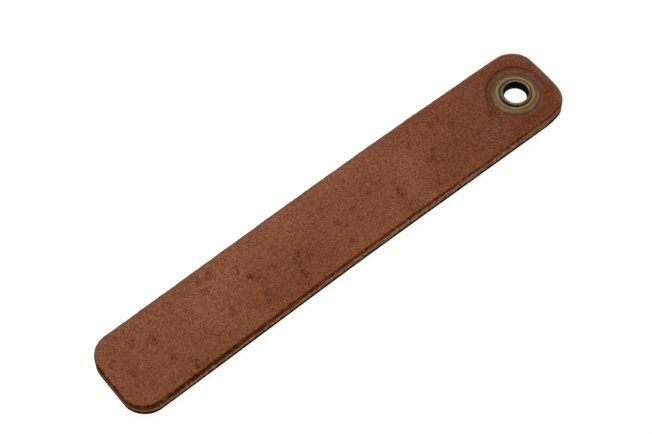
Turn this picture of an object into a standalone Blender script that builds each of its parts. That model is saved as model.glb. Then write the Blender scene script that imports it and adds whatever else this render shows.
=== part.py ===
"""Flat two-ply leather strop with a brass hanging eyelet at one end.

Frame: origin under the middle of the strop, on the surface it lies on.
+X runs along the length towards the eyelet, +Z is up through the thickness.
The brown face ply has its flesh side up. The black back ply has its grain side down.
"""

import math

import bmesh
import bpy

MM = 0.001

# Driving dimensions
LENGTH = 203.0 * MM
WIDTH = 33.0 * MM
THICKNESS = 6.2 * MM
CORNER_RADIUS = 9.4 * MM
CORNER_STEPS = 12
CLEARANCE = 0.3 * MM

# Leather plies and the cement between them
BACK_PLY_TOP = 3.0 * MM
FILM_THICKNESS = 0.2 * MM
FILM_INSET = 0.25 * MM
FACE_EDGE_ROUND = 0.5 * MM
BACK_EDGE_ROUND = 0.4 * MM
EDGE_STEPS = 3

# Eyelet
EYELET_X = LENGTH / 2 - 14.3 * MM
BORE_RADIUS = 4.75 * MM
WAIST_RADIUS = 4.25 * MM
WAIST_HEIGHT = 3.4 * MM
WAIST_STEPS = 6
BARREL_WALL = 0.35 * MM
LIP_ROLL_RADIUS = 0.32 * MM
LIP_CREST_HEIGHT = THICKNESS + 0.35 * MM
FLANGE_RADIUS = 9.3 * MM
FLANGE_RECESS = 0.6 * MM
FLANGE_BEND_RADIUS = 4.0 * MM
FLANGE_BEND_DEG = 26
WASHER_WALL = 0.4 * MM
WASHER_RADIUS = 9.5 * MM
WASHER_CREST_RADIUS = 7.0 * MM
WASHER_CREST_HEIGHT = THICKNESS + 0.15 * MM
WASHER_CREST_BEND = 0.8 * MM
WASHER_RIM_LIFT = 0.05 * MM
WASHER_SEAT_RADIUS = 6.0 * MM
ROUND_STEPS = 48

# Dish pressed into each ply by the eyelet, and the back ply's flare around the barrel's fillet
FACE_DISH_DEPTH = 1.35 * MM
BACK_DISH_DEPTH = 1.65 * MM
BACK_FLARE_RADIUS = 6.1 * MM
BACK_FLARE_HEIGHT = 2.6 * MM
DISH_FLOOR_RADIUS = WASHER_RADIUS + CLEARANCE
DISH_RIM_RADIUS = 10.9 * MM

# Worked out from the dimensions above
FILM_BOTTOM = BACK_PLY_TOP + CLEARANCE
FILM_TOP = FILM_BOTTOM + FILM_THICKNESS
FACE_PLY_BOTTOM = FILM_TOP + CLEARANCE
BARREL_RADIUS = BORE_RADIUS + BARREL_WALL
LEATHER_HOLE_RADIUS = BARREL_RADIUS + CLEARANCE
OVERSHOOT = 1.0 * MM


def clear_scene():
    for item in list(bpy.data.objects):
        bpy.data.objects.remove(item, do_unlink=True)


def make_material(name, colour, roughness, metallic=0.0):
    material = bpy.data.materials.new(name)
    material.use_nodes = True
    shader = material.node_tree.nodes["Principled BSDF"]
    shader.inputs["Base Color"].default_value = (*colour, 1.0)
    shader.inputs["Roughness"].default_value = roughness
    shader.inputs["Metallic"].default_value = metallic
    material.diffuse_color = (*colour, 1.0)
    return material


def arc(centre_r, centre_z, radius, start_deg, end_deg, steps):
    """Points (r, z) along an arc, both ends included."""
    points = []
    for i in range(steps + 1):
        angle = math.radians(start_deg + (end_deg - start_deg) * i / steps)
        points.append((centre_r + radius * math.cos(angle), centre_z + radius * math.sin(angle)))
    return points


def outline(inset):
    """Rounded rectangle in plan, anticlockwise, drawn in by inset all round."""
    radius = CORNER_RADIUS - inset
    reach_x = LENGTH / 2 - CORNER_RADIUS
    reach_y = WIDTH / 2 - CORNER_RADIUS
    corners = [(reach_x, reach_y), (-reach_x, reach_y), (-reach_x, -reach_y), (reach_x, -reach_y)]
    points = []
    for index, (x, y) in enumerate(corners):
        points += arc(x, y, radius, 90 * index, 90 * index + 90, CORNER_STEPS)
    return points


def edge_round(radius, height, upward):
    """Levels (inset, z) of a rounded edge whose flat face lies at height."""
    levels = []
    for i in range(EDGE_STEPS + 1):
        angle = math.pi / 2 * i / EDGE_STEPS
        inset = radius * (1 - math.cos(angle))
        drop = radius * (1 - math.sin(angle))
        levels.append((inset, height - drop if upward else height + drop))
    return levels


def make_slab(name, levels, material):
    """Closed slab lofted through outlines at levels (inset, z), lowest level first."""
    mesh = bpy.data.meshes.new(name)
    build = bmesh.new()
    rings = []
    for inset, height in levels:
        rings.append([build.verts.new((x, y, height)) for x, y in outline(inset)])
    for lower, upper in zip(rings, rings[1:]):
        count = len(lower)
        for i in range(count):
            j = (i + 1) % count
            build.faces.new((lower[i], lower[j], upper[j], upper[i]))
    build.faces.new(list(reversed(rings[0])))
    build.faces.new(rings[-1])
    build.to_mesh(mesh)
    build.free()
    mesh.materials.append(material)
    slab = bpy.data.objects.new(name, mesh)
    bpy.context.collection.objects.link(slab)
    return slab


def make_turned(name, profile, closed, material=None):
    """Solid turned about the eyelet's axis from points (r, z) that run down the outer side."""
    mesh = bpy.data.meshes.new(name)
    edges = [(i, i + 1) for i in range(len(profile) - 1)]
    if closed:
        edges.append((len(profile) - 1, 0))
    mesh.from_pydata([(r, 0.0, z) for r, z in profile], edges, [])
    if material:
        mesh.materials.append(material)
    turned = bpy.data.objects.new(name, mesh)
    turned.location = (EYELET_X, 0.0, 0.0)
    bpy.context.collection.objects.link(turned)
    screw = turned.modifiers.new("Turn", "SCREW")
    screw.axis = "Z"
    screw.angle = math.tau
    screw.steps = ROUND_STEPS
    screw.render_steps = ROUND_STEPS
    screw.use_merge_vertices = True
    screw.merge_threshold = 0.00001
    screw.use_smooth_shade = True
    return turned


def sheet_profile(path, wall):
    """Closed profile of sheet metal of the given wall, centred on a path of points (r, z)."""
    left = []
    right = []
    for i, (r, z) in enumerate(path):
        before = path[max(i - 1, 0)]
        after = path[min(i + 1, len(path) - 1)]
        run = after[0] - before[0]
        rise = after[1] - before[1]
        length = math.hypot(run, rise)
        shift_r = -rise / length * wall / 2
        shift_z = run / length * wall / 2
        left.append((r + shift_r, z + shift_z))
        right.append((r - shift_r, z - shift_z))
    return left + list(reversed(right))


def cut(target, cutter):
    cutter.hide_render = True
    cutter.display_type = "WIRE"
    boolean = target.modifiers.new("Cut " + cutter.name, "BOOLEAN")
    boolean.operation = "DIFFERENCE"
    boolean.solver = "EXACT"
    boolean.object = cutter


def make_face_leather(leather):
    levels = [(0.0, FACE_PLY_BOTTOM)] + edge_round(FACE_EDGE_ROUND, THICKNESS, upward=True)
    face = make_slab("face_leather", levels, leather)
    floor = THICKNESS - FACE_DISH_DEPTH
    slope = (DISH_RIM_RADIUS - DISH_FLOOR_RADIUS) / FACE_DISH_DEPTH
    profile = [
        (0.0, THICKNESS + OVERSHOOT),
        (DISH_RIM_RADIUS + slope * OVERSHOOT, THICKNESS + OVERSHOOT),
        (DISH_FLOOR_RADIUS, floor),
        (LEATHER_HOLE_RADIUS, floor),
        (LEATHER_HOLE_RADIUS, FACE_PLY_BOTTOM - OVERSHOOT),
        (0.0, FACE_PLY_BOTTOM - OVERSHOOT),
    ]
    cut(face, make_turned("face_dish_cutter", profile, closed=False))


def make_back_leather(leather):
    levels = list(reversed(edge_round(BACK_EDGE_ROUND, 0.0, upward=False))) + [(0.0, BACK_PLY_TOP)]
    back = make_slab("back_leather", levels, leather)
    slope = (DISH_RIM_RADIUS - DISH_FLOOR_RADIUS) / BACK_DISH_DEPTH
    profile = [
        (0.0, BACK_PLY_TOP + OVERSHOOT),
        (LEATHER_HOLE_RADIUS, BACK_PLY_TOP + OVERSHOOT),
        (LEATHER_HOLE_RADIUS, BACK_FLARE_HEIGHT),
        (BACK_FLARE_RADIUS, BACK_DISH_DEPTH),
        (DISH_FLOOR_RADIUS, BACK_DISH_DEPTH),
        (DISH_RIM_RADIUS + slope * OVERSHOOT, -OVERSHOOT),
        (0.0, -OVERSHOOT),
    ]
    cut(back, make_turned("back_dish_cutter", profile, closed=False))


def make_bond_film(cement):
    film = make_slab("bond_film", [(FILM_INSET, FILM_BOTTOM), (FILM_INSET, FILM_TOP)], cement)
    hole_radius = LEATHER_HOLE_RADIUS + FILM_INSET
    profile = [
        (0.0, FILM_TOP + OVERSHOOT),
        (hole_radius, FILM_TOP + OVERSHOOT),
        (hole_radius, FILM_BOTTOM - OVERSHOOT),
        (0.0, FILM_BOTTOM - OVERSHOOT),
    ]
    cut(film, make_turned("film_hole_cutter", profile, closed=False))


def make_eyelet(brass):
    """Barrel that narrows to a waist, with a domed back flange and its free end rolled outwards into a lip."""
    barrel_middle = BORE_RADIUS + BARREL_WALL / 2
    lip_centre = LIP_CREST_HEIGHT - LIP_ROLL_RADIUS - BARREL_WALL / 2
    flange_middle = FLANGE_RECESS + BARREL_WALL / 2
    bend_start = FLANGE_RADIUS - FLANGE_BEND_RADIUS * math.sin(math.radians(FLANGE_BEND_DEG))
    bend_centre = flange_middle + FLANGE_BEND_RADIUS
    path = arc(barrel_middle + LIP_ROLL_RADIUS, lip_centre, LIP_ROLL_RADIUS, -10, 180, 9)
    for i in range(1, WAIST_STEPS):
        share = i / WAIST_STEPS
        narrowing = (BORE_RADIUS - WAIST_RADIUS) * share * share * (3 - 2 * share)
        path.append((barrel_middle - narrowing, lip_centre + (WAIST_HEIGHT - lip_centre) * share))
    fillet = WAIST_HEIGHT - flange_middle
    path += arc(WAIST_RADIUS + BARREL_WALL / 2 + fillet, WAIST_HEIGHT, fillet, 180, 270, 5)
    path += arc(bend_start, bend_centre, FLANGE_BEND_RADIUS, -90, FLANGE_BEND_DEG - 90, 3)
    make_turned("eyelet", sheet_profile(path, BARREL_WALL), True, brass)


def make_eyelet_washer(brass):
    """Domed washer: flat seat under the lip, a raised ring, and a skirt sloping to its rim."""
    seat = THICKNESS - FACE_DISH_DEPTH + CLEARANCE + WASHER_WALL / 2
    crest_centre = WASHER_CREST_HEIGHT - WASHER_WALL / 2 - WASHER_CREST_BEND
    path = [(LEATHER_HOLE_RADIUS, seat), (WASHER_SEAT_RADIUS, seat)]
    path += arc(WASHER_CREST_RADIUS, crest_centre, WASHER_CREST_BEND, 145, 40, 5)
    path.append((WASHER_RADIUS, seat + WASHER_RIM_LIFT))
    make_turned("eyelet_washer", sheet_profile(path, WASHER_WALL), True, brass)


def main():
    clear_scene()
    face_brown = make_material("face_leather", (0.19, 0.075, 0.035), 0.85)
    back_black = make_material("back_leather", (0.022, 0.018, 0.016), 0.5)
    cement = make_material("bond_film", (0.05, 0.03, 0.018), 0.7)
    eyelet_brass = make_material("eyelet", (0.42, 0.36, 0.22), 0.35, 1.0)
    washer_brass = make_material("eyelet_washer", (0.3, 0.22, 0.1), 0.42, 1.0)
    make_face_leather(face_brown)
    make_back_leather(back_black)
    make_bond_film(cement)
    make_eyelet(eyelet_brass)
    make_eyelet_washer(washer_brass)


main()
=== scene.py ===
"""Looks of the leather strop: napped brown face ply, black back ply, cement line and antique-brass eyelet.

The finished meshes are in metres in the CAD frame, and the sizes below are in millimetres unless a comment
says otherwise. The strop lies flat with +X towards the eyelet and +Z up.
"""

import math

import bmesh
import bpy
from mathutils import Matrix, Vector, noise
from mathutils.geometry import delaunay_2d_cdt


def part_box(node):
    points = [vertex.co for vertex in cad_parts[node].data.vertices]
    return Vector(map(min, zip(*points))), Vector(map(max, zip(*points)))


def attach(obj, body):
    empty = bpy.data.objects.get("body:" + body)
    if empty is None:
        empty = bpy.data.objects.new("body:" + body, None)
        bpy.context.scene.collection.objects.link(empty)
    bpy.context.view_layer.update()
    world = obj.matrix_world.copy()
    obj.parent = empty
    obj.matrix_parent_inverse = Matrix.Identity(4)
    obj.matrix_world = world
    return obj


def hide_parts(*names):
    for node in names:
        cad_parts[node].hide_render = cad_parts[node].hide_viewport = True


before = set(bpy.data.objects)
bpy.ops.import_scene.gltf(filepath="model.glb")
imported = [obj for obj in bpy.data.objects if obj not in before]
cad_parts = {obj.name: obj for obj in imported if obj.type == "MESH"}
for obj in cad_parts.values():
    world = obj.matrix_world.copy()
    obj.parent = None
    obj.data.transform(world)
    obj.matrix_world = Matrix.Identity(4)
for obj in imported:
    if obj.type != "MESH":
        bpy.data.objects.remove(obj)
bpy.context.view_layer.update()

MM = 0.001

# Sizes read from the frame, in millimetres
FACE_LOW, FACE_HIGH = (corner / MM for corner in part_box("face_leather"))
FILM_LOW, FILM_HIGH = (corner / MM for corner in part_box("bond_film"))
EYELET_LOW, EYELET_HIGH = (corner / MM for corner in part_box("eyelet"))
WASHER_LOW, WASHER_HIGH = (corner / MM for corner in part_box("eyelet_washer"))
TOP = FACE_HIGH.z
EYE_X = (WASHER_LOW.x + WASHER_HIGH.x) / 2
GLUE_LINE = (FILM_LOW.z + FILM_HIGH.z) / 2

# Half the thickness of the cement line, in millimetres
FILM_HALF = 0.06

# Plan shape, in millimetres
CORNER_RADIUS = 9.4
REACH_X = (FACE_HIGH.x - FACE_LOW.x) / 2 - CORNER_RADIUS
REACH_Y = (FACE_HIGH.y - FACE_LOW.y) / 2 - CORNER_RADIUS

# Spacing of mesh points on the face, on the grain side and inside the joint, in millimetres
PLAN_STEP = 0.36
GRAIN_STEP = 1.2
HIDDEN_STEP = 5.0

# Mesh points round the eyelet's hole, and round the brass
EYE_STEPS = 216
TURNED_STEPS = 192

# Marks rubbed into the nap: (x, y, length, heading in degrees, strength), in millimetres
SCUFFS = [
    (-80.0, 4.0, 3.0, 70, 0.9),
    (-81.5, 5.0, 2.0, 20, 0.6),
    (-79.0, -6.5, 2.0, 60, 0.8),
    (-87.0, 8.0, 2.5, 35, 0.6),
    (-73.5, -13.5, 3.0, 80, 0.7),
    (-70.5, -14.5, 2.5, 20, 0.6),
    (-62.0, -7.0, 5.0, 120, 0.5),
    (-54.0, 12.0, 3.0, 75, 0.7),
    (-49.5, 12.0, 2.5, 50, 0.8),
    (-54.5, 7.4, 1.5, 10, 0.9),
    (-51.5, -5.0, 2.0, 80, 0.6),
    (-40.5, 7.0, 2.5, 60, 0.6),
    (-37.5, 0.6, 3.5, 130, 0.9),
    (-38.5, -9.5, 4.5, 60, 0.6),
    (-30.0, -0.5, 3.0, 160, 0.6),
    (-19.0, -2.4, 3.5, 20, 0.9),
    (-21.5, -5.5, 3.0, 110, 0.8),
    (-22.5, -9.8, 2.5, 95, 0.8),
    (-17.0, -5.6, 1.8, 40, 0.7),
    (0.6, -2.6, 4.0, 125, 0.8),
    (-1.5, -11.0, 2.5, 30, 0.6),
    (7.6, -0.6, 1.6, 70, 0.7),
    (25.6, -6.8, 3.6, 80, 0.9),
    (24.8, -13.6, 3.0, 65, 0.6),
    (40.8, 7.0, 1.8, 45, 0.9),
    (45.8, -1.2, 3.2, 50, 0.8),
    (43.4, -3.0, 2.2, 150, 0.7),
    (60.0, 5.0, 3.0, 40, 0.5),
    (74.0, -0.8, 1.8, 80, 0.6),
    (39.6, -11.8, 2.0, 55, 0.7),
]


def smooth(value, low, high):
    """0 below low, 1 above high, easing between them."""
    t = min(max((value - low) / (high - low), 0.0), 1.0)
    return t * t * (3 - 2 * t)


def fractal(x, y, z, size, octaves=3):
    """Layered noise of about -1 to 1 whose largest features are size millimetres across."""
    return noise.fractal(Vector((x, y, z)) / size, 1.0, 2.0, octaves)


# Plan outline

def plan_points():
    """Points (centre x, centre y, normal x, normal y) of the rounded outline, evenly spaced."""
    corners = [(REACH_X, REACH_Y), (-REACH_X, REACH_Y), (-REACH_X, -REACH_Y), (REACH_X, -REACH_Y)]
    arc_steps = round(math.pi / 2 * CORNER_RADIUS / PLAN_STEP)
    points = []
    for index, (x, y) in enumerate(corners):
        for i in range(arc_steps):
            angle = math.pi / 2 * (index + i / arc_steps)
            points.append((x, y, math.cos(angle), math.sin(angle)))
        next_x, next_y = corners[(index + 1) % 4]
        angle = math.pi / 2 * (index + 1)
        side_steps = round(math.hypot(next_x - x, next_y - y) / PLAN_STEP)
        for i in range(side_steps):
            t = i / side_steps
            centre = (x + (next_x - x) * t, y + (next_y - y) * t)
            points.append((*centre, math.cos(angle), math.sin(angle)))
    return points


PLAN = plan_points()


def eye_distance(x, y):
    """How far a point lies from the eyelet's axis, in millimetres."""
    return math.hypot(x - EYE_X, y)


# How far the eyelet and the leather pressed round it sit from their exact place, in millimetres. This shift
# ends at EYE_SHIFT_REACH from the eyelet's axis, and fades out over the last EYE_SHIFT_FADE
EYE_SHIFT = Vector((-0.12, -0.55))
EYE_SHIFT_REACH = 14.2
EYE_SHIFT_FADE = 2.2

# The hand cut, in millimetres. Both long edges sweep sideways along a cosine and swell apart by a share of
# their distance, both ends are skewed, the eyelet end bulges, and the edge on the -Y side has one dent
SWEEP_OFFSET = 0.05
SWEEP_DEPTH = 0.4
SWEEP_X = 11
SWEEP_SPAN = 115
SWELL_SHARE = 0.008
SWELL_X = 40
SWELL_SPAN = 32
END_SKEW = 0.03
BULGE_DEPTH = 0.28
BULGE_Y = 1
BULGE_REACH = 9
BULGE_FADE = (95.0, 101.0)
DENT_DEPTH = 0.45
DENT_X = 94.3
DENT_WIDTH = 2.7
CORNER_FADE_X = (90.0, 98.5)
CORNER_FADE_Y = (7.0, 13.5)

# How far each cut corner lies from its exact place, by whether x and y are positive there, in millimetres
CORNER_SHIFTS = {
    (False, False): Vector((0.13, 0.13)),
    (False, True): Vector((-0.17, 0.17)),
    (True, False): Vector((0.17, -0.17)),
    (True, True): Vector((0.35, -0.6)),
}


def settle(x, y):
    """Where a point of the exact shape goes in the hand-cut strop."""
    sweep = SWEEP_OFFSET + SWEEP_DEPTH * math.cos(math.pi * (x - SWEEP_X) / SWEEP_SPAN)
    swell = SWELL_SHARE * math.exp(-(((x - SWELL_X) / SWELL_SPAN) ** 2))
    bulge = BULGE_DEPTH * smooth(x, *BULGE_FADE) * max(1 - ((y - BULGE_Y) / BULGE_REACH) ** 2, 0.0)
    dent = DENT_DEPTH * math.exp(-(((x - DENT_X) / DENT_WIDTH) ** 2)) * smooth(-y, *CORNER_FADE_Y)
    corner = CORNER_SHIFTS[x > 0, y > 0] * smooth(abs(x), *CORNER_FADE_X) * smooth(abs(y), *CORNER_FADE_Y)
    shift = Vector((END_SKEW * y + bulge, y * swell + sweep + dent)) + corner
    near_eye = smooth(EYE_SHIFT_REACH - eye_distance(x, y), 0.0, EYE_SHIFT_FADE)
    return Vector((x, y)) + shift.lerp(EYE_SHIFT, near_eye)


def rim_distance(x, y):
    """How far a point lies inside the outline, in millimetres."""
    over_x = max(abs(x) - REACH_X, 0.0)
    over_y = max(abs(y) - REACH_Y, 0.0)
    if over_x > 0 and over_y > 0:
        return CORNER_RADIUS - math.hypot(over_x, over_y)
    return CORNER_RADIUS - max(abs(x) - REACH_X, abs(y) - REACH_Y)


class Shell:
    """A closed mesh while it is built, in millimetres. Each point has a push, the direction in which the
    roughening moves it, whose length is the share of the roughening that it gets."""

    def __init__(self):
        self.points = []
        self.pushes = []
        self.faces = []

    def add(self, point, push):
        """Keeps a point and gives back its number."""
        self.points.append(Vector(point))
        self.pushes.append(Vector(push))
        return len(self.points) - 1

    def outline_ring(self, inset, height, lean, amount):
        """A ring round the plan. lean is 0 where the surface faces up or down and 1 where it is a wall.
        inset and height are numbers, or functions of a point of the outline."""
        ring = []
        for centre_x, centre_y, normal_x, normal_y in PLAN:
            spot = (centre_x + CORNER_RADIUS * normal_x, centre_y + CORNER_RADIUS * normal_y)
            here_inset = inset(*spot) if callable(inset) else inset
            here_height = height(*spot) if callable(height) else height
            radius = CORNER_RADIUS - here_inset
            point = (centre_x + radius * normal_x, centre_y + radius * normal_y, here_height)
            push = Vector((normal_x * lean, normal_y * lean, 1 - lean)).normalized() * amount
            ring.append(self.add(point, push))
        return ring

    def eye_ring(self, radius, height, amount):
        """A ring round the eyelet's axis."""
        ring = []
        for i in range(EYE_STEPS):
            angle = math.tau * i / EYE_STEPS
            point = (EYE_X + radius * math.cos(angle), radius * math.sin(angle), height)
            ring.append(self.add(point, (0, 0, amount)))
        return ring

    def bridge(self, first, second):
        """A band of faces between two rings with the same number of points."""
        count = len(first)
        for i in range(count):
            j = (i + 1) % count
            self.faces.append((first[i], first[j], second[j], second[i]))

    def fill(self, outer, inner, height, step, amount):
        """Triangles between an outer and an inner ring of one height, with staggered points between them."""
        numbers = outer + inner
        flat = [self.points[i].to_2d() for i in numbers]
        edges = [(i, (i + 1) % len(outer)) for i in range(len(outer))]
        shift = len(outer)
        edges += [(shift + i, shift + (i + 1) % len(inner)) for i in range(len(inner))]
        clearance = step * 0.6
        margin = rim_distance(*flat[0]) + clearance
        eye_reach = (self.points[inner[0]].to_2d() - Vector((EYE_X, 0))).length + clearance
        row_step = step * 0.866
        rows = int((FACE_HIGH.y - FACE_LOW.y) / row_step)
        columns = int((FACE_HIGH.x - FACE_LOW.x) / step)
        for row in range(rows):
            for column in range(columns):
                shake = noise.random_vector() * step * 0.2
                x = FACE_LOW.x + (column + 0.5 * (row % 2)) * step + shake.x
                y = FACE_LOW.y + row * row_step + shake.y
                if rim_distance(x, y) < margin or eye_distance(x, y) < eye_reach:
                    continue
                numbers.append(self.add((x, y, height), (0, 0, amount)))
                flat.append(Vector((x, y)))
        _, _, triangles, origins, _, _ = delaunay_2d_cdt(flat, edges, [], 1, 1e-6)
        hole_edge = range(shift, shift + len(inner))

        # a triangle whose corners are all on the hole's edge would lie across the hole
        for triangle in triangles:
            corners = [origins[i][0] for i in triangle]
            if not all(i in hole_edge for i in corners):
                self.faces.append([numbers[i] for i in corners])

    def build(self, name, relief, readings):
        """Roughens the surface, settles it into the hand-cut shape and makes the object.
        readings maps attribute names to functions of a point of the exact shape."""
        rough = [point + push * relief(*point) for point, push in zip(self.points, self.pushes)]
        placed = [(*settle(point.x, point.y), point.z) for point in rough]
        attributes = {key: [read(*point) for point in self.points] for key, read in readings.items()}
        return make_piece(name, placed, self.faces, attributes)


def make_piece(name, points, faces, attributes):
    """A smooth closed object from points in millimetres, with a number at each point for every attribute."""
    mesh = bpy.data.meshes.new(name)
    mesh.from_pydata([(x * MM, y * MM, z * MM) for x, y, z in points], [], faces)
    work = bmesh.new()
    work.from_mesh(mesh)
    bmesh.ops.recalc_face_normals(work, faces=work.faces)
    work.to_mesh(mesh)
    work.free()
    mesh.shade_smooth()
    for key, values in attributes.items():
        mesh.attributes.new(key, "FLOAT", "POINT").data.foreach_set("value", values)
    piece = bpy.data.objects.new(name, mesh)
    bpy.context.scene.collection.objects.link(piece)
    return piece


# Leather plies

# Radius of the hole cut through the plies for the eyelet, in millimetres
HOLE_RADIUS = 5.6

# How far each ply's face in the joint stands in from its wall, in millimetres, and the share of the
# roughening that the wall has where it meets the joint
JOINT_INSET = 0.25
JOINT_ROUGHNESS = 0.4

# How far in the rings of points lie that run along the rim before it rounds off, in millimetres
RIM_INSETS = (1.4, 1.1, 0.85)

# Rounding of the face's rim and how far that wanders along the edge, in millimetres
RIM_ROUNDING = 0.5
RIM_WANDER = 0.16

# Dish pressed into the face round the eyelet: (radius, depth, share of the full roughness), in millimetres
FACE_DISH = [
    (12.6, 0.0, 1.0), (12.2, 0.01, 1.0), (11.9, 0.03, 1.0), (11.6, 0.06, 1.0), (11.35, 0.11, 1.0),
    (11.1, 0.19, 1.0), (10.9, 0.29, 0.9), (10.7, 0.39, 0.8), (10.5, 0.48, 0.7), (10.3, 0.56, 0.6),
    (10.1, 0.63, 0.5), (9.9, 0.69, 0.4), (9.7, 0.75, 0.3), (9.5, 0.82, 0.1), (9.35, 0.9, 0.0),
    (9.24, 1.05, 0.0), (9.15, 1.2, 0.0), (8.6, 1.28, 0.0), (7.5, 1.33, 0.0), (5.8, 1.35, 0.0),
    (HOLE_RADIUS, 1.45, 0.0),
]

# Dish pressed into the back ply: (radius, height above the underside), in millimetres
BACK_DISH = [
    (12.2, 0.0), (11.7, 0.02), (11.3, 0.09), (10.9, 0.28), (10.5, 0.6), (10.1, 0.95),
    (9.8, 1.2), (9.5, 1.38), (9.1, 1.5), (8.4, 1.6), (6.3, 1.65), (HOLE_RADIUS, 2.6),
]


def scuff_depth(x, y):
    """How deep a rubbed mark is at a point of the face, from 0 to 1."""
    bent_x = x + 0.7 * noise.noise(Vector((x, y, 0)) / 1.3)
    bent_y = y + 0.7 * noise.noise(Vector((x, y, 9)) / 1.3)
    deepest = 0.0
    for mark_x, mark_y, length, heading, strength in SCUFFS:
        if abs(bent_x - mark_x) > length or abs(bent_y - mark_y) > length:
            continue
        along_x = math.cos(math.radians(heading))
        along_y = math.sin(math.radians(heading))
        along = (bent_x - mark_x) * along_x + (bent_y - mark_y) * along_y
        across = (bent_y - mark_y) * along_x - (bent_x - mark_x) * along_y
        beyond = max(abs(along) - length / 2, 0.0)
        fall = math.exp(-((across / 1.0) ** 2) - (beyond / 0.9) ** 2)
        deepest = max(deepest, strength * fall)
    return deepest


def face_relief(x, y, z):
    """Height of the napped face and its cut edge above the plain shape, in millimetres."""
    nap = (0.015 + 0.045 * smooth(eye_distance(x, y), 9.5, 12.5)) * fractal(x, y, z, 1.3, 4)
    lumps = 0.05 * fractal(x, y, z, 7.0, 2)
    fibres = 0.08 * smooth(1.2 - rim_distance(x, y), 0.0, 1.2) * fractal(x, y, z * 2.5, 0.9, 3)
    return nap + lumps + fibres - 0.07 * scuff_depth(x, y)


def edge_radius(x, y):
    """Rounding of the face's rim at a point of the outline."""
    return RIM_ROUNDING + RIM_WANDER * fractal(x, y, 3.0, 9.0, 3)


def make_face_ply():
    """Flesh side with its rounded rim, the wall, the hidden face in the joint, and the dish and hole."""
    shell = Shell()
    bottom = GLUE_LINE + FILM_HALF
    rings = [shell.outline_ring(inset, TOP, 0, 1.0) for inset in RIM_INSETS]
    round_steps = 6
    for i in range(round_steps + 1):
        angle = math.pi / 2 * i / round_steps

        def inset(x, y, angle=angle):
            return edge_radius(x, y) * (1 - math.sin(angle))

        def height(x, y, angle=angle):
            return TOP - edge_radius(x, y) * (1 - math.cos(angle))

        rings.append(shell.outline_ring(inset, height, math.sin(angle), 1.0))
    wall_steps = 7
    for i in range(1, wall_steps + 1):

        def wall_height(x, y, share=i / wall_steps):
            start = TOP - edge_radius(x, y)
            return start + (bottom - start) * share

        rings.append(shell.outline_ring(0.0, wall_height, 1, 1.0 if i < wall_steps else JOINT_ROUGHNESS))
    rings.append(shell.outline_ring(JOINT_INSET, bottom, 0, 0.0))
    for first, second in zip(rings, rings[1:]):
        shell.bridge(first, second)
    eye_rings = [shell.eye_ring(radius, TOP - depth, amount) for radius, depth, amount in FACE_DISH]
    eye_rings.append(shell.eye_ring(HOLE_RADIUS, bottom, 0.0))
    for first, second in zip(eye_rings, eye_rings[1:]):
        shell.bridge(first, second)
    shell.fill(rings[0], eye_rings[0], TOP, PLAN_STEP, 1.0)
    shell.fill(rings[-1], eye_rings[-1], bottom, HIDDEN_STEP, 0.0)
    return shell.build("face_ply", face_relief, {
        "scuff": lambda x, y, z: scuff_depth(x, y) if z > TOP - 1 else 0.0,
        "rim": lambda x, y, z: rim_distance(x, y),
        "eye": lambda x, y, z: eye_distance(x, y),
    })


def back_relief(x, y, z):
    """Height of the back ply's wall and grain side above the plain shape, in millimetres."""
    grain = 0.02 * fractal(x, y, z, 5.0, 2)
    cut = 0.05 * smooth(z, 0.3, 1.2) * fractal(x, y, z * 3.0, 0.8, 3)
    return grain + cut


def make_back_ply():
    """Hidden face in the joint, the wall with its bevelled foot, the grain side, and the dish and hole."""
    shell = Shell()
    top = GLUE_LINE - FILM_HALF
    bevel = 0.28
    flat_inset = 0.9
    rings = [shell.outline_ring(JOINT_INSET, top, 0, 0.0)]
    wall_steps = 8
    for i in range(wall_steps + 1):
        height = top + (bevel - top) * i / wall_steps
        rings.append(shell.outline_ring(0.0, height, 1, 1.0 if i else JOINT_ROUGHNESS))
    bevel_steps = 5
    for i in range(1, bevel_steps + 1):
        angle = math.pi / 2 * i / bevel_steps
        inset = bevel * (1 - math.cos(angle))
        rings.append(shell.outline_ring(inset, bevel * (1 - math.sin(angle)), math.cos(angle), 0.5))
    rings.append(shell.outline_ring(flat_inset, 0.0, 0, 0.0))
    for first, second in zip(rings, rings[1:]):
        shell.bridge(first, second)
    eye_rings = [shell.eye_ring(radius, height, 0.0) for radius, height in BACK_DISH]
    eye_rings.append(shell.eye_ring(HOLE_RADIUS, top, 0.0))
    for first, second in zip(eye_rings, eye_rings[1:]):
        shell.bridge(first, second)
    shell.fill(rings[-1], eye_rings[0], 0.0, GRAIN_STEP, 0.0)
    shell.fill(rings[0], eye_rings[-1], top, HIDDEN_STEP, 0.0)
    return shell.build("back_ply", back_relief, {"rim": lambda x, y, z: rim_distance(x, y)})


def cement_relief(x, y, z):
    """How far the dry cement stands out of its plain shape, in millimetres."""
    return 0.05 * fractal(x, y, z, 2.0, 2)


def make_cement_line():
    """The film of dry cement, a little thinner than the joint and set in from the walls."""
    shell = Shell()
    gap = 0.01
    recess = 0.1
    heights = (GLUE_LINE - FILM_HALF + gap, GLUE_LINE + FILM_HALF - gap)
    rings = [shell.outline_ring(recess, height, 1, 1.0) for height in heights]
    eye_rings = [shell.eye_ring(HOLE_RADIUS + recess, height, 0.0) for height in heights]
    shell.bridge(*rings)
    shell.bridge(*eye_rings)
    for ring, eye_ring, height in zip(rings, eye_rings, heights):
        shell.fill(ring, eye_ring, height, HIDDEN_STEP, 0.0)
    return shell.build("cement_line", cement_relief, {})


# Brass

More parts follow.
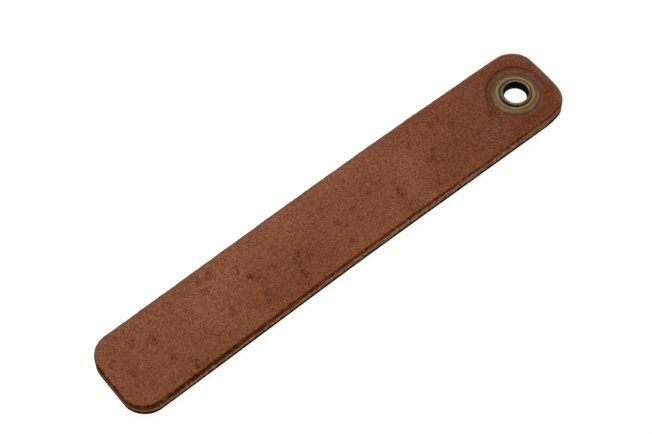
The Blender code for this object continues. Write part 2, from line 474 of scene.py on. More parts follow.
# Eyelet, in millimetres. Its bore narrows from the lip down to the waist, and below the waist it widens into
# the flange. The flange turns up by FLANGE_TURN degrees, on a radius of FLANGE_BEND, to a rim where the
# middle of the sheet lies FLANGE_TUCK inside the frame's size
BORE_RADIUS = 4.73
WAIST_RADIUS = 4.25
WAIST_HEIGHT = 3.4
BARREL_WALL = 0.35
LIP_ROLL = 0.34
FLANGE_BEND = 4.0
FLANGE_TURN = 26
FLANGE_TUCK = 0.08

# Washer, in millimetres. At its rim the middle of the sheet lies WASHER_TUCK inside the frame's size. The
# knots are (radius, share of its height)
WASHER_WALL = 0.4
WASHER_TUCK = 0.3
WASHER_RADIUS = (WASHER_HIGH.x - WASHER_LOW.x) / 2 - WASHER_TUCK
WASHER_KNOTS = [
    (5.7, 0.15), (5.9, 0.2), (6.1, 0.38), (6.3, 0.66), (6.55, 0.9), (6.95, 1.0), (7.3, 0.93), (7.6, 0.74),
    (7.9, 0.58), (8.3, 0.46), (8.8, 0.32), (WASHER_RADIUS, 0.06),
]

# How far the set barrel and its rolled lip sit from the washer's axis along X and Y, in millimetres
BARREL_SHIFT = (0.36, 0.12)
ROLL_SHIFT = (-0.2, -0.2)

# Radii between which the lip's shift sets in, in millimetres
ROLL_FADE = (BORE_RADIUS + 0.3, BORE_RADIUS + 0.9)


def arc(centre_r, centre_z, radius, start_deg, end_deg, steps):
    """Points (r, z) along an arc, both ends included."""
    points = []
    for i in range(steps + 1):
        angle = math.radians(start_deg + (end_deg - start_deg) * i / steps)
        points.append((centre_r + radius * math.cos(angle), centre_z + radius * math.sin(angle)))
    return points


def round_end(side, wall, turn):
    """Points round an end of the sheet, from one side to the other. turn is 180 where the path starts."""
    r, z, side_r, side_z = side
    facing = math.degrees(math.atan2(side_z, side_r)) + turn
    return arc(r, z, wall / 2, facing - 30, facing - 150, 4)


def sheet_profile(path, wall):
    """Closed profile of sheet metal of the given wall, with round ends, along a path of points (r, z)."""
    sides = []
    for i, (r, z) in enumerate(path):
        before = path[max(i - 1, 0)]
        after = path[min(i + 1, len(path) - 1)]
        run = after[0] - before[0]
        rise = after[1] - before[1]
        length = math.hypot(run, rise)
        sides.append((r, z, -rise / length * wall / 2, run / length * wall / 2))
    one_side = [(r + side_r, z + side_z) for r, z, side_r, side_z in sides]
    other_side = [(r - side_r, z - side_z) for r, z, side_r, side_z in reversed(sides)]
    return one_side + round_end(sides[-1], wall, 0) + other_side + round_end(sides[0], wall, 180)


def make_turned(name, profile, wobble, off_centre=(0.0, 0.0), roll_shift=(0.0, 0.0)):
    """Turned brass piece about the eyelet's axis. wobble is the size of its small unevenness, off_centre its
    shift along X and Y, and roll_shift the further shift of what lies outside the bore, in millimetres."""
    middle = settle(EYE_X, 0.0) + Vector(off_centre)
    points = []
    for i in range(TURNED_STEPS):
        angle = math.tau * i / TURNED_STEPS
        for r, z in profile:
            x = r * math.cos(angle)
            y = r * math.sin(angle)
            centre = middle + Vector(roll_shift) * smooth(r, *ROLL_FADE)
            points.append((centre.x + x, centre.y + y, z + wobble * fractal(x, y, z, 4.0, 3)))
    count = len(profile)
    faces = []
    for i in range(TURNED_STEPS):
        j = (i + 1) % TURNED_STEPS
        for k in range(count):
            m = (k + 1) % count
            faces.append((i * count + k, i * count + m, j * count + m, j * count + k))
    return make_piece(name, points, faces, {"radius": [r for r, _ in profile] * TURNED_STEPS})


def spline(knots, steps):
    """Points along a smooth curve through the knots (r, z), with steps between each two."""
    padded = [knots[0]] + knots + [knots[-1]]
    points = []
    for a, b, c, d in zip(padded, padded[1:], padded[2:], padded[3:]):
        for i in range(steps):
            t = i / steps
            weights = ((-t + 2 * t**2 - t**3) / 2, (2 - 5 * t**2 + 3 * t**3) / 2,
                       (t + 4 * t**2 - 3 * t**3) / 2, (-(t**2) + t**3) / 2)
            points.append(tuple(sum(w * p[k] for w, p in zip(weights, (a, b, c, d))) for k in (0, 1)))
    return points + [knots[-1]]


def make_eyelet():
    """Rolled lip, a bore that narrows to its waist, a fillet and a flange with a turned-up rim."""
    middle = BORE_RADIUS + BARREL_WALL / 2
    lip_centre = EYELET_HIGH.z - LIP_ROLL - BARREL_WALL / 2
    flange = EYELET_LOW.z + BARREL_WALL / 2
    radius = (EYELET_HIGH.x - EYELET_LOW.x) / 2
    path = arc(middle + LIP_ROLL, lip_centre, LIP_ROLL, -10, 180, 20)
    waist_steps = 14
    for i in range(1, waist_steps):
        narrowing = (BORE_RADIUS - WAIST_RADIUS) * smooth(i / waist_steps, 0.0, 1.0)
        path.append((middle - narrowing, lip_centre + (WAIST_HEIGHT - lip_centre) * i / waist_steps))
    fillet = WAIST_HEIGHT - flange
    path += arc(WAIST_RADIUS + BARREL_WALL / 2 + fillet, WAIST_HEIGHT, fillet, 180, 270, 18)
    bend_start = radius - FLANGE_BEND * math.sin(math.radians(FLANGE_TURN)) - FLANGE_TUCK
    path += arc(bend_start, flange + FLANGE_BEND, FLANGE_BEND, -90, FLANGE_TURN - 90, 10)
    return make_turned("eyelet_barrel", sheet_profile(path, BARREL_WALL), 0.02, BARREL_SHIFT, ROLL_SHIFT)


def make_washer():
    """Flat seat, a broad raised ring, then a shallow skirt falling to the rim."""
    seat = WASHER_LOW.z + WASHER_WALL / 2
    rise = WASHER_HIGH.z - WASHER_WALL / 2 - seat
    path = spline([(r, seat + rise * share) for r, share in WASHER_KNOTS], 5)
    return make_turned("brass_washer", sheet_profile(path, WASHER_WALL), 0.03)


# Materials

def rgb(red, green, blue):
    """Linear colour from display values of 0 to 255."""
    linear = []
    for value in (red, green, blue):
        share = value / 255
        linear.append(share / 12.92 if share <= 0.04045 else ((share + 0.055) / 1.055) ** 2.4)
    return (*linear, 1.0)


class Paint:
    """Builds one material's node tree in short calls. Feature sizes are in millimetres."""

    def __init__(self, name):
        self.material = bpy.data.materials.new(name)
        self.material.use_nodes = True
        self.tree = self.material.node_tree
        self.shader = self.tree.nodes["Principled BSDF"]
        coordinates = self.tree.nodes.new("ShaderNodeTexCoord")
        self.place = self.scaled(coordinates.outputs["Object"], (1 / MM,) * 3)
        split = self.tree.nodes.new("ShaderNodeSeparateXYZ")
        self.put(split.inputs[0], self.place)
        self.x, self.y, self.z = split.outputs

    def put(self, socket, value):
        """Links the socket to another node's output, or sets its value."""
        if isinstance(value, bpy.types.NodeSocket):
            self.tree.links.new(value, socket)
        else:
            socket.default_value = value

    def scaled(self, vector, factors):
        node = self.tree.nodes.new("ShaderNodeVectorMath")
        node.operation = "MULTIPLY"
        self.put(node.inputs[0], vector)
        node.inputs[1].default_value = factors
        return node.outputs[0]

    def noise(self, size, detail=2.0, roughness=0.5, stretch=(1, 1, 1)):
        """Noise of 0 to 1 with features of the given size, drawn out along X, Y and Z by the stretch."""
        node = self.tree.nodes.new("ShaderNodeTexNoise")
        self.put(node.inputs["Vector"], self.scaled(self.place, tuple(1 / (size * s) for s in stretch)))
        node.inputs["Scale"].default_value = 1.0
        node.inputs["Detail"].default_value = detail
        node.inputs["Roughness"].default_value = roughness
        return node.outputs["Fac"]

    def cell_edges(self, size):
        """How far a point lies from the edges of random cells of the given size."""
        node = self.tree.nodes.new("ShaderNodeTexVoronoi")
        node.feature = "DISTANCE_TO_EDGE"
        self.put(node.inputs["Vector"], self.scaled(self.place, (1 / size,) * 3))
        node.inputs["Scale"].default_value = 1.0
        return node.outputs["Distance"]

    def arcs(self, radius, width, length):
        """Noise drawn out along circles round the eyelet's axis."""
        node = self.tree.nodes.new("ShaderNodeCombineXYZ")
        self.put(node.inputs[0], self.multiply(radius, 1 / width))
        self.put(node.inputs[1], self.multiply(self.x, 1 / length))
        self.put(node.inputs[2], self.multiply(self.y, 1 / length))
        texture = self.tree.nodes.new("ShaderNodeTexNoise")
        self.put(texture.inputs["Vector"], node.outputs[0])
        texture.inputs["Scale"].default_value = 1.0
        return texture.outputs["Fac"]

    def attribute(self, name):
        node = self.tree.nodes.new("ShaderNodeAttribute")
        node.attribute_name = name
        return node.outputs["Fac"]

    def math(self, operation, first, second=0.0, clamp=False):
        node = self.tree.nodes.new("ShaderNodeMath")
        node.operation = operation
        node.use_clamp = clamp
        self.put(node.inputs[0], first)
        self.put(node.inputs[1], second)
        return node.outputs[0]

    def add(self, first, second):
        return self.math("ADD", first, second)

    def subtract(self, first, second):
        return self.math("SUBTRACT", first, second)

    def multiply(self, first, second):
        return self.math("MULTIPLY", first, second)

    def clamped_product(self, first, second):
        """first times second, kept between 0 and 1."""
        return self.math("MULTIPLY", first, second, clamp=True)

    def absolute(self, value):
        return self.math("ABSOLUTE", value)

    def ease(self, value, low, high, start=0.0, end=1.0):
        """start below low, end above high, easing between them."""
        node = self.tree.nodes.new("ShaderNodeMapRange")
        node.interpolation_type = "SMOOTHSTEP"
        self.put(node.inputs["Value"], value)
        self.put(node.inputs["From Min"], low)
        self.put(node.inputs["From Max"], high)
        node.inputs["To Min"].default_value = start
        node.inputs["To Max"].default_value = end
        return node.outputs["Result"]

    def mix(self, first, second, factor, blend="MIX"):
        node = self.tree.nodes.new("ShaderNodeMix")
        node.data_type = "RGBA"
        node.blend_type = blend
        self.put(node.inputs["Factor"], factor)
        self.put(node.inputs[6], first)
        self.put(node.inputs[7], second)
        return node.outputs[2]

    def shade(self, colour, value, low, high):
        """colour times low to high as value goes from 0 to 1."""
        span = self.ease(value, 0.25, 0.75, low, high)
        return self.mix(colour, self.grey(span), 1.0, "MULTIPLY")

    def grey(self, value):
        node = self.tree.nodes.new("ShaderNodeCombineColor")
        for socket in node.inputs:
            self.put(socket, value)
        return node.outputs[0]

    def bump(self, height, distance, strength=1.0):
        node = self.tree.nodes.new("ShaderNodeBump")
        self.put(node.inputs["Strength"], strength)
        node.inputs["Distance"].default_value = distance * MM
        self.put(node.inputs["Height"], height)
        return node.outputs[0]

    def finish(self, values):
        """Sets the shader's inputs by name and gives the material back."""
        for name, value in values.items():
            self.put(self.shader.inputs[name], value)
        return self.material


def ragged(paint, base, spread, size, stretch=(1, 1, 1)):
    """A band's height in millimetres that wanders about base by spread."""
    wander = paint.subtract(paint.noise(size, 3.0, 0.6, stretch), 0.5)
    return paint.add(paint.multiply(wander, spread * 2), base)


def tan_top(paint):
    """Height where the tan part of the cut edge gives way to the burnished part, higher near the eyelet."""
    rise = paint.ease(paint.x, -65.0, 5.0, 3.45, 4.5)
    corner = paint.ease(paint.x, 50.0, 96.0, 0.0, 0.95)
    return ragged(paint, paint.add(rise, corner), 1.5, 1.6, (1, 1, 2))


def tan_edge_colour(paint):
    """Raw cut leather, streaked along the edge, with redder and greener stretches."""
    streaks = paint.noise(0.5, 2.0, 0.6, (3, 3, 1))
    colour = paint.mix(rgb(90, 54, 34), rgb(156, 120, 96), paint.ease(streaks, 0.32, 0.68))
    colour = paint.mix(colour, rgb(104, 68, 44), paint.ease(paint.x, 68.0, 84.0, 0.0, 0.4))
    colour = paint.mix(colour, rgb(90, 66, 51), paint.ease(paint.x, -100.0, -84.0, 0.6, 0.0))
    tint = paint.mix(rgb(255, 242, 239), rgb(248, 249, 239), paint.ease(paint.noise(5.0, 1.0), 0.4, 0.6))
    colour = paint.mix(colour, tint, 1.0, "MULTIPLY")
    colour = paint.shade(colour, paint.noise(0.8, 1.0), 0.75, 1.4)
    return paint.shade(colour, paint.noise(3.2, 2.0), 0.8, 1.3)


def burnt_edge_colour(paint):
    """Red-brown burnish, darkest towards the plain end, with short lighter fibres showing through it."""
    fibres = paint.noise(0.6, 1.5, 0.6, (1.2, 1.2, 2.4))
    base = paint.mix(rgb(65, 27, 8), rgb(92, 43, 18), paint.ease(paint.x, -100.0, -30.0))
    base = paint.mix(base, rgb(78, 42, 20), paint.ease(paint.x, -101.0, -97.0, 0.9, 0.0))
    base = paint.mix(base, rgb(72, 33, 14), paint.ease(paint.x, 74.0, 86.0, 0.0, 0.8))
    colour = paint.mix(base, rgb(128, 76, 46), paint.ease(fibres, 0.5, 0.8))
    colour = paint.shade(colour, paint.noise(7.0, 1.0), 0.75, 1.2)
    return paint.shade(colour, paint.noise(2.0, 2.0), 0.5, 1.45)


# Size in millimetres and strength of each layer of the face's mottling
FACE_LAYERS = [(0.45, 0.7), (0.9, 0.47), (1.8, 0.12), (3.6, 0.06), (8.0, 0.06), (22.0, 0.25)]


def veins(paint, size, width):
    """1 along the wandering lines where a noise crosses its middle value, 0 away from them."""
    distance = paint.absolute(paint.subtract(paint.noise(size, 2.0, 0.6), 0.5))
    return paint.ease(distance, width * 0.3, width, 1.0, 0.0)


def mottle(paint, layers):
    """Sum of noises about zero. Each layer is (size, amount)."""
    total = 0.0
    for size, amount in layers:
        wave = paint.multiply(paint.subtract(paint.noise(size, 0.6, 0.6), 0.5), amount)
        total = paint.add(wave, total)
    return total


def nap_value(paint):
    """How pale the nap is, from -0.5 where it is darkest to 0.5 where it is palest."""
    value = mottle(paint, FACE_LAYERS)
    patches = paint.ease(paint.noise(8.0, 1.5), 0.44, 0.68, 0.15, 1.0)
    pits = paint.multiply(paint.ease(paint.noise(0.9, 1.5, 0.6), 0.56, 0.74, 0.0, 0.34), patches)
    value = paint.subtract(value, pits)
    # Painted light: the nap is a little paler towards the far (+Y) side, where the light is
    value = paint.add(value, paint.ease(paint.y, -15.0, 15.0, -0.01, 0.06))
    spots = paint.math("MAXIMUM", veins(paint, 1.3, 0.07), paint.ease(paint.noise(0.8, 1.0), 0.5, 0.64))
    worn = paint.multiply(paint.attribute("scuff"), paint.add(paint.multiply(spots, 0.42), 0.02))
    value = paint.subtract(value, worn)
    crack_patches = paint.ease(paint.noise(9.0, 2.0), 0.5, 0.66, 0.0, 0.2)
    value = paint.subtract(value, paint.multiply(veins(paint, 2.8, 0.03), crack_patches))
    worm_patches = paint.ease(paint.noise(3.5, 1.0), 0.42, 0.66, 0.0, 0.16)
    return paint.subtract(value, paint.multiply(veins(paint, 1.4, 0.04), worm_patches))


def nap_colour(paint, rim):
    """Colour of the open nap, darker at the eyelet's end and more orange in patches along the rim."""
    value = nap_value(paint)
    eyelet_end = paint.ease(paint.x, 0.0, 90.0)
    dark = paint.mix(rgb(64, 22, 4), rgb(56, 16, 4), eyelet_end)
    middle = paint.mix(rgb(117, 69, 46), rgb(97, 53, 34), eyelet_end)
    pale = paint.mix(rgb(166, 116, 90), rgb(146, 96, 76), eyelet_end)
    orange = paint.multiply(paint.ease(rim, 0.6, 4.0, 0.6, 0.0), paint.ease(paint.noise(6.0), 0.42, 0.62))
    middle = paint.mix(middle, rgb(119, 73, 38), orange)
    colour = paint.mix(dark, middle, paint.clamped_product(paint.add(value, 0.5), 2.0))
    colour = paint.mix(colour, pale, paint.clamped_product(value, 2.0))
    yellower = paint.ease(paint.noise(6.0, 3.0, 0.6), 0.38, 0.62)
    tint = paint.mix(rgb(255, 255, 255), rgb(255, 252, 245), yellower)
    return paint.mix(colour, tint, 1.0, "MULTIPLY")


def press_round_eyelet(paint, colour, eye):
    """Smooths and greys the nap that is pressed down round the eyelet. Paints a shadow along the crease
    where it bends, strongest on the far side, and paints shade on the leather next to the washer's rim.
    """
    wander = paint.multiply(paint.subtract(paint.noise(3.0, 2.0), 0.5), 1.2)
    bend_radius = paint.ease(paint.x, 82.0, 89.0, 11.1, 11.7)
    bend = paint.absolute(paint.subtract(paint.add(eye, wander), bend_radius))
    # Painted shadow: a dark line along the crease where the pressed leather bends down, strongest on the far
    # (+Y) side
    crease = paint.multiply(paint.ease(bend, 0.1, 0.6, 1.0, 0.0), paint.ease(paint.y, -9.0, 8.0, 0.1, 0.8))
    pressed = paint.multiply(paint.ease(eye, 10.2, 11.4, 0.8, 0.0), paint.ease(paint.y, -6.0, 2.0, 0.4, 1.0))
    smoothed = paint.mix(rgb(100, 68, 51), rgb(113, 78, 61), paint.ease(paint.noise(1.8, 2.0), 0.35, 0.65))
    smoothed = paint.mix(rgb(92, 57, 40), smoothed, paint.ease(paint.x, 80.0, 90.0))
    # Painted shade: the leather right next to the washer's rim is darker
    smoothed = paint.mix(smoothed, rgb(84, 56, 38), paint.ease(eye, 9.2, 10.0, 0.7, 0.0))
    colour = paint.mix(colour, smoothed, pressed)
    return paint.mix(colour, rgb(66, 28, 17), crease)


def burnish_rim(paint, colour, rim, inner):
    """Greys the far rim with painted shade, burns the rim and the wall, and leaves the wall's foot raw."""
    on_rim = paint.math("LESS_THAN", rim, 1.2)
    burn = paint.multiply(on_rim, paint.ease(inner, -0.12, 0.2, 1.0, 0.0))
    far_side = paint.ease(paint.add(paint.y, paint.ease(paint.x, 90.0, 98.0, 0.0, 26.0)), 6.0, 12.0)
    # Painted shade: the far rim is painted greyer where its rounding falls into shade
    far_rim_shade = paint.multiply(paint.ease(rim, 0.3, 1.5, 0.9, 0.0), far_side)
    colour = paint.mix(colour, rgb(104, 78, 60), far_rim_shade)
    burn = paint.multiply(burn, paint.ease(far_side, 0.0, 1.0, 1.0, 0.3))
    colour = paint.mix(colour, burnt_edge_colour(paint), burn)
    below = paint.subtract(tan_top(paint), paint.z)
    raw = paint.multiply(on_rim, paint.ease(below, -0.35, 0.35))
    return paint.mix(colour, tan_edge_colour(paint), raw)


def face_material():
    paint = Paint("napped_brown_leather")
    rim = paint.attribute("rim")
    eye = paint.attribute("eye")
    burnish_reach = paint.ease(paint.x, 25.0, 65.0, 0.42, 0.2)
    burnish_reach = paint.subtract(burnish_reach, paint.ease(paint.x, -101.0, -97.0, 0.1, 0.0))
    inner = paint.subtract(rim, ragged(paint, burnish_reach, 0.8, 1.3))
    colour = press_round_eyelet(paint, nap_colour(paint, rim), eye)
    height = paint.add(paint.noise(0.5, 3.0, 0.7), paint.multiply(paint.noise(1.5, 2.0), 0.9))
    return paint.finish({
        "Base Color": burnish_rim(paint, colour, rim, inner),
        "Roughness": 0.95,
        "Specular IOR Level": paint.ease(inner, -0.1, 0.2, 0.0, 0.05),
        "Sheen Weight": paint.ease(inner, -0.1, 0.2, 0.0, 0.03),
        "Sheen Roughness": 0.5,
        "Sheen Tint": rgb(200, 150, 120),
        "Normal": paint.bump(height, 0.12, paint.ease(eye, 10.8, 12.2, 0.3, 1.0)),
    })


def dye_and_shade_foot_height(paint):
    """How high the dark foot of the wall reaches, more at the two near corners: the grain side's dye, and
    partly painted shade along the foot.
    """
    height = paint.ease(paint.x, -95.0, -62.0, 1.45, 1.8)
    height = paint.subtract(height, paint.ease(paint.x, 72.0, 95.0, 0.0, 0.5))
    height = paint.add(height, paint.ease(paint.subtract(paint.x, paint.y), 105.5, 109.0, 0.0, 0.8))
    height = paint.add(height, paint.ease(paint.add(paint.x, paint.y), -111.5, -109.0, 0.5, 0.0))
    return ragged(paint, height, 0.5, 1.2, (1, 1, 3))


def back_material():
    paint = Paint("black_grain_leather")
    black = paint.mix(rgb(26, 20, 16), rgb(42, 33, 27), paint.ease(paint.noise(6.0, 3.0), 0.35, 0.7))
    creases = paint.cell_edges(1.1)
    black = paint.mix(rgb(18, 14, 12), black, paint.ease(creases, 0.0, 0.12))
    on_wall = paint.ease(paint.attribute("rim"), 0.6, 1.0, 1.0, 0.0)
    # The wall's dark foot is partly dye and partly painted shade
    dye_and_foot_shade = paint.mix(rgb(24, 9, 1), rgb(58, 28, 10), paint.ease(paint.noise(0.7, 1.5), 0.4, 0.75))
    black = paint.mix(black, dye_and_foot_shade, on_wall)
    above = paint.subtract(paint.z, dye_and_shade_foot_height(paint))
    burnt = paint.ease(paint.subtract(paint.z, tan_top(paint)), -0.35, 0.35)
    edge = paint.mix(tan_edge_colour(paint), burnt_edge_colour(paint), burnt)
    colour = paint.mix(black, edge, paint.multiply(paint.ease(above, -0.15, 0.15), on_wall))
    height = paint.add(paint.ease(creases, 0.0, 0.2), paint.multiply(paint.noise(0.5, 3.0), 0.6))
    return paint.finish({
        "Base Color": colour,
        "Roughness": paint.ease(on_wall, 0.0, 1.0, 0.48, 0.95),
        "Specular IOR Level": paint.ease(on_wall, 0.0, 1.0, 0.35, 0.0),
        "Normal": paint.bump(height, 0.06),
    })


def cement_material():
    paint = Paint("dry_cement")
    colour = paint.mix(rgb(48, 26, 14), rgb(92, 60, 36), paint.ease(paint.noise(1.4, 3.0), 0.35, 0.65))
    return paint.finish({
        "Base Color": colour,
        "Roughness": 0.8,
        "Specular IOR Level": 0.2,
        "Normal": paint.bump(paint.noise(0.5, 2.0), 0.03),
    })


def washer_metal(paint, radius, along, near):
    """An olive skirt that turns browner and darker towards the far side as a painted reflection of the
    leather, and a warmer raised ring.
    """
    tilt = paint.add(paint.multiply(along, 0.35), paint.y)
    # Painted reflection: the skirt's far (+Y) side is painted browner and darker, for the leather that it
    # mirrors there
    brown = paint.mix(rgb(91, 64, 32), rgb(80, 55, 27), paint.ease(paint.noise(3.2, 3.0), 0.35, 0.65))
    brown = paint.mix(brown, rgb(68, 47, 20), paint.ease(paint.y, 0.0, 7.0, 0.0, 0.75))
    olive = paint.mix(rgb(111, 86, 50), rgb(99, 77, 45), paint.ease(paint.noise(2.6, 2.0), 0.4, 0.65))
    skirt = paint.mix(olive, brown, paint.ease(tilt, -6.5, 2.0))
    orange = paint.ease(paint.subtract(along, paint.y), 0.0, 9.0)
    warm = paint.mix(rgb(113, 94, 56), rgb(124, 90, 49), orange)
    warm = paint.shade(warm, paint.noise(3.0, 2.0), 0.9, 1.06)
    ring = paint.ease(paint.add(radius, paint.ease(near, -8.0, -3.0, -0.45, 0.0)), 7.45, 8.0, 1.0, 0.0)
    return paint.mix(skirt, warm, ring)


def washer_patina(paint, colour, radius, near):
    """Grey patches, partly patina and partly painted highlight on the near side, red patches, wear along
    arcs, dark patina and painted shade in the groove inside the ring, tarnish and a dull rim.
    """
    # Grey patches are grey patina. On the near side, where they are strongest, they are also a painted
    # highlight
    grey_patches = paint.ease(paint.noise(2.4, 2.0), 0.42, 0.66)
    greyed = paint.multiply(grey_patches, paint.ease(near, -8.0, 4.0, 0.45, 0.1))
    colour = paint.mix(colour, rgb(92, 90, 72), greyed)
    reddened = paint.ease(paint.noise(1.7, 2.0), 0.52, 0.7, 0.0, 0.4)
    colour = paint.mix(colour, rgb(104, 68, 52), reddened)
    colour = paint.shade(colour, paint.arcs(radius, 0.4, 5.0), 0.82, 1.2)
    # Dark patina and painted shade in the groove inside the ring, strongest on the near side that faces away
    # from the light
    patina_and_shade = paint.ease(near, -6.2, -3.0, 0.95, 0.25)
    groove = paint.multiply(paint.ease(radius, 6.0, 6.65, 1.0, 0.0), patina_and_shade)
    colour = paint.mix(colour, rgb(62, 30, 7), groove)
    tarnish = paint.ease(paint.noise(0.8, 3.0, 0.65), 0.48, 0.72, 0.0, 0.4)
    colour = paint.mix(colour, rgb(63, 44, 21), tarnish)
    rim = paint.ease(radius, 8.8, 9.2, 0.0, 0.4)
    return paint.mix(colour, rgb(84, 60, 38), rim)


def washer_material():
    paint = Paint("antique_brass_painted_light")
    radius = paint.attribute("radius")
    along = paint.subtract(paint.x, EYE_X)
    near = paint.add(paint.multiply(along, 0.75), paint.multiply(paint.y, 0.66))
    colour = washer_metal(paint, radius, along, near)
    return paint.finish({
        "Base Color": washer_patina(paint, colour, radius, near),
        "Metallic": 0.5,
        "Roughness": paint.ease(paint.noise(1.2, 4.0, 0.6), 0.3, 0.7, 0.5, 0.68),
        "Specular IOR Level": 0.25,
        "Normal": paint.bump(paint.noise(0.6, 3.0, 0.6), 0.03),
    })


def lip_colour(paint, radius):
    """A pale crest, partly worn brass and partly painted highlight, on a darker lip whose outer half is
    patina and painted shade. The crest is paler towards the light and darker on the near side, and two dark
    stretches lie on the inner flank of the lip's near half.
    """
    along = paint.subtract(paint.x, EYE_X)
    pale = paint.mix(rgb(105, 94, 68), rgb(79, 68, 45), paint.ease(paint.noise(1.6, 3.0), 0.35, 0.7))
    side = paint.add(along, paint.multiply(paint.y, 0.6))
    # Painted highlight: paler on the side towards the light; painted shade: darker on the near (-Y) side
    pale = paint.mix(pale, rgb(138, 129, 106), paint.ease(side, 1.5, 5.0, 0.0, 0.8))
    pale = paint.mix(pale, rgb(90, 79, 58), paint.ease(paint.y, -5.0, -2.0, 0.8, 0.0))
    # The dull colour of the lip's outer half is dark patina and painted shade, and the crest mask is worn
    # brass and painted highlight
    dull = paint.mix(rgb(112, 88, 52), rgb(76, 54, 26), paint.ease(paint.noise(1.2, 3.0), 0.35, 0.7))
    crest = paint.ease(paint.absolute(paint.subtract(radius, 5.15)), 0.16, 0.36, 1.0, 0.0)
    towards = paint.subtract(paint.multiply(along, -0.62), paint.multiply(paint.y, 0.78))
    aside = paint.subtract(paint.multiply(along, 0.78), paint.multiply(paint.y, 0.62))
    flank = paint.ease(paint.absolute(aside), 1.4, 3.2, 0.0, 0.9)
    flank = paint.multiply(paint.ease(towards, -1.5, 1.5), flank)
    flank = paint.multiply(flank, paint.ease(radius, 5.18, 5.36, 1.0, 0.0))
    return paint.mix(paint.mix(dull, pale, crest), rgb(44, 40, 27), flank)


def eyelet_material():
    paint = Paint("worn_brass_painted_light")
    radius = paint.attribute("radius")
    # Painted shade: below the lip, the inside of the bore is painted near black and made rough and not
    # metallic, standing in for the shade in the bore
    deep = paint.ease(paint.z, TOP - 0.2, TOP + 0.12, 1.0, 0.0)
    inside = paint.multiply(paint.ease(radius, 4.86, 5.02, 1.0, 0.0), deep)
    bore = paint.mix(rgb(6, 4, 2), rgb(32, 28, 18), paint.ease(paint.noise(1.5, 3.0, 0.6), 0.42, 0.72))
    colour = paint.mix(lip_colour(paint, radius), bore, inside)
    on_flange = paint.ease(paint.z, 1.6, 2.4, 1.0, 0.0)
    brass = paint.mix(rgb(128, 108, 70), rgb(96, 82, 54), paint.ease(paint.noise(2.5, 4.0), 0.35, 0.65))
    rough = paint.ease(paint.noise(1.0, 4.0, 0.6), 0.3, 0.7, 0.36, 0.52)
    return paint.finish({
        "Base Color": paint.mix(colour, brass, on_flange),
        "Metallic": paint.ease(inside, 0.0, 1.0, 0.6, 0.0),
        "Roughness": paint.add(rough, paint.multiply(inside, 0.4)),
        "Specular IOR Level": paint.ease(inside, 0.0, 1.0, 0.3, 0.05),
        "Normal": paint.bump(paint.noise(0.6, 4.0, 0.6), 0.008),
    })


# Stage

# Camera, in degrees and millimetres. The middle of the face lies AIM_RIGHT to the right of the picture's
# middle and AIM_DOWN below it
CAMERA_AZIMUTH = 38.53
CAMERA_ELEVATION = 58.91
CAMERA_ROLL = -1.357
CAMERA_DISTANCE = 764.5
CAMERA_LENS = 116.85
AIM_RIGHT = 3.56
AIM_DOWN = 1.3

# Floor, world and light, in metres and watts
FLOOR_RADIUS = 6.0
FLOOR_DROP = 0.02 * MM
PAPER_GREY = 0.12
PAPER_GLOW = 0.93
WORLD_STRENGTH = 0.62
LIGHT_PLACE = (0.35, 0.55, 0.9)
LIGHT_SIZE = 0.8
LIGHT_POWER = 9.0


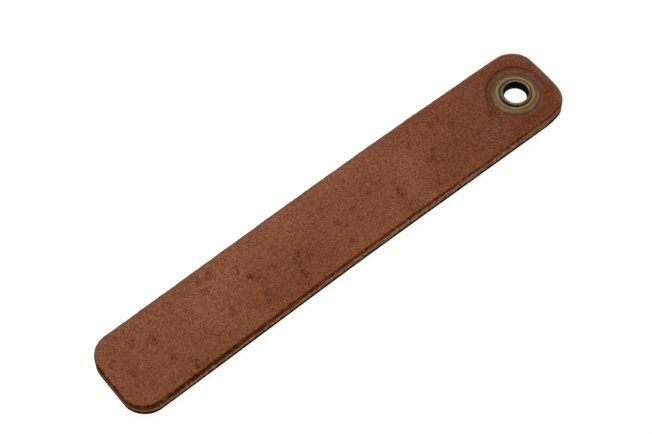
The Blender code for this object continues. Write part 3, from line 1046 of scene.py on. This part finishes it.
def make_camera():
    azimuth = math.radians(CAMERA_AZIMUTH)
    elevation = math.radians(CAMERA_ELEVATION)
    roll = math.radians(CAMERA_ROLL)
    level_right = Vector((math.cos(azimuth), -math.sin(azimuth), 0))
    level_forward = Vector((math.sin(azimuth), math.cos(azimuth), 0))
    forward = level_forward * math.cos(elevation) - Vector((0, 0, math.sin(elevation)))
    level_down = forward.cross(level_right)
    right = math.cos(roll) * level_right - math.sin(roll) * level_down
    down = math.sin(roll) * level_right + math.cos(roll) * level_down
    aimed = Vector((0, 0, TOP)) - right * AIM_RIGHT - down * AIM_DOWN
    place = (aimed - forward * CAMERA_DISTANCE) * MM
    camera_data = bpy.data.cameras.new("camera")
    camera_data.lens = CAMERA_LENS
    camera_data.sensor_width = 36
    camera = bpy.data.objects.new("camera", camera_data)
    turn = Matrix((right, -down, -forward)).transposed().to_4x4()
    camera.matrix_world = Matrix.Translation(place) @ turn
    bpy.context.scene.collection.objects.link(camera)
    bpy.context.scene.camera = camera


def make_light(name, place, size, power):
    light_data = bpy.data.lights.new(name, "AREA")
    light_data.shape = "DISK"
    light_data.size = size
    light_data.energy = power
    light = bpy.data.objects.new(name, light_data)
    light.location = place
    light.rotation_mode = "QUATERNION"
    light.rotation_quaternion = Vector(place).to_track_quat("Z", "Y")
    bpy.context.scene.collection.objects.link(light)


def make_floor():
    """A round sheet of grey paper that glows white, so that the strop's shadow on it stays faint."""
    mesh = bpy.data.meshes.new("floor")
    work = bmesh.new()
    bmesh.ops.create_circle(work, cap_ends=True, radius=FLOOR_RADIUS, segments=96)
    work.to_mesh(mesh)
    work.free()
    floor = bpy.data.objects.new("floor", mesh)
    floor.location.z = -FLOOR_DROP
    bpy.context.scene.collection.objects.link(floor)
    paper = Paint("white_paper")
    material = paper.finish({
        "Base Color": (PAPER_GREY, PAPER_GREY, PAPER_GREY, 1.0),
        "Roughness": 1.0,
        "Specular IOR Level": 0.0,
        "Emission Color": (1, 1, 1, 1),
        "Emission Strength": PAPER_GLOW,
    })
    mesh.materials.append(material)


def make_world():
    world = bpy.data.worlds.new("studio")
    world.use_nodes = True
    background = world.node_tree.nodes["Background"]
    background.inputs["Color"].default_value = (1, 1, 1, 1)
    background.inputs["Strength"].default_value = WORLD_STRENGTH
    bpy.context.scene.world = world
    bpy.context.scene.view_settings.view_transform = "Standard"


def place_piece(piece, material, node):
    """Gives a finished piece its material and body, and hides the CAD node that it replaces."""
    piece.data.materials.append(material)
    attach(piece, "root")
    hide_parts(node)


noise.seed_set(7)
make_camera()
make_floor()
make_world()
make_light("overhead", LIGHT_PLACE, LIGHT_SIZE, LIGHT_POWER)
place_piece(make_face_ply(), face_material(), "face_leather")
place_piece(make_back_ply(), back_material(), "back_leather")
place_piece(make_cement_line(), cement_material(), "bond_film")
place_piece(make_eyelet(), eyelet_material(), "eyelet")
place_piece(make_washer(), washer_material(), "eyelet_washer")
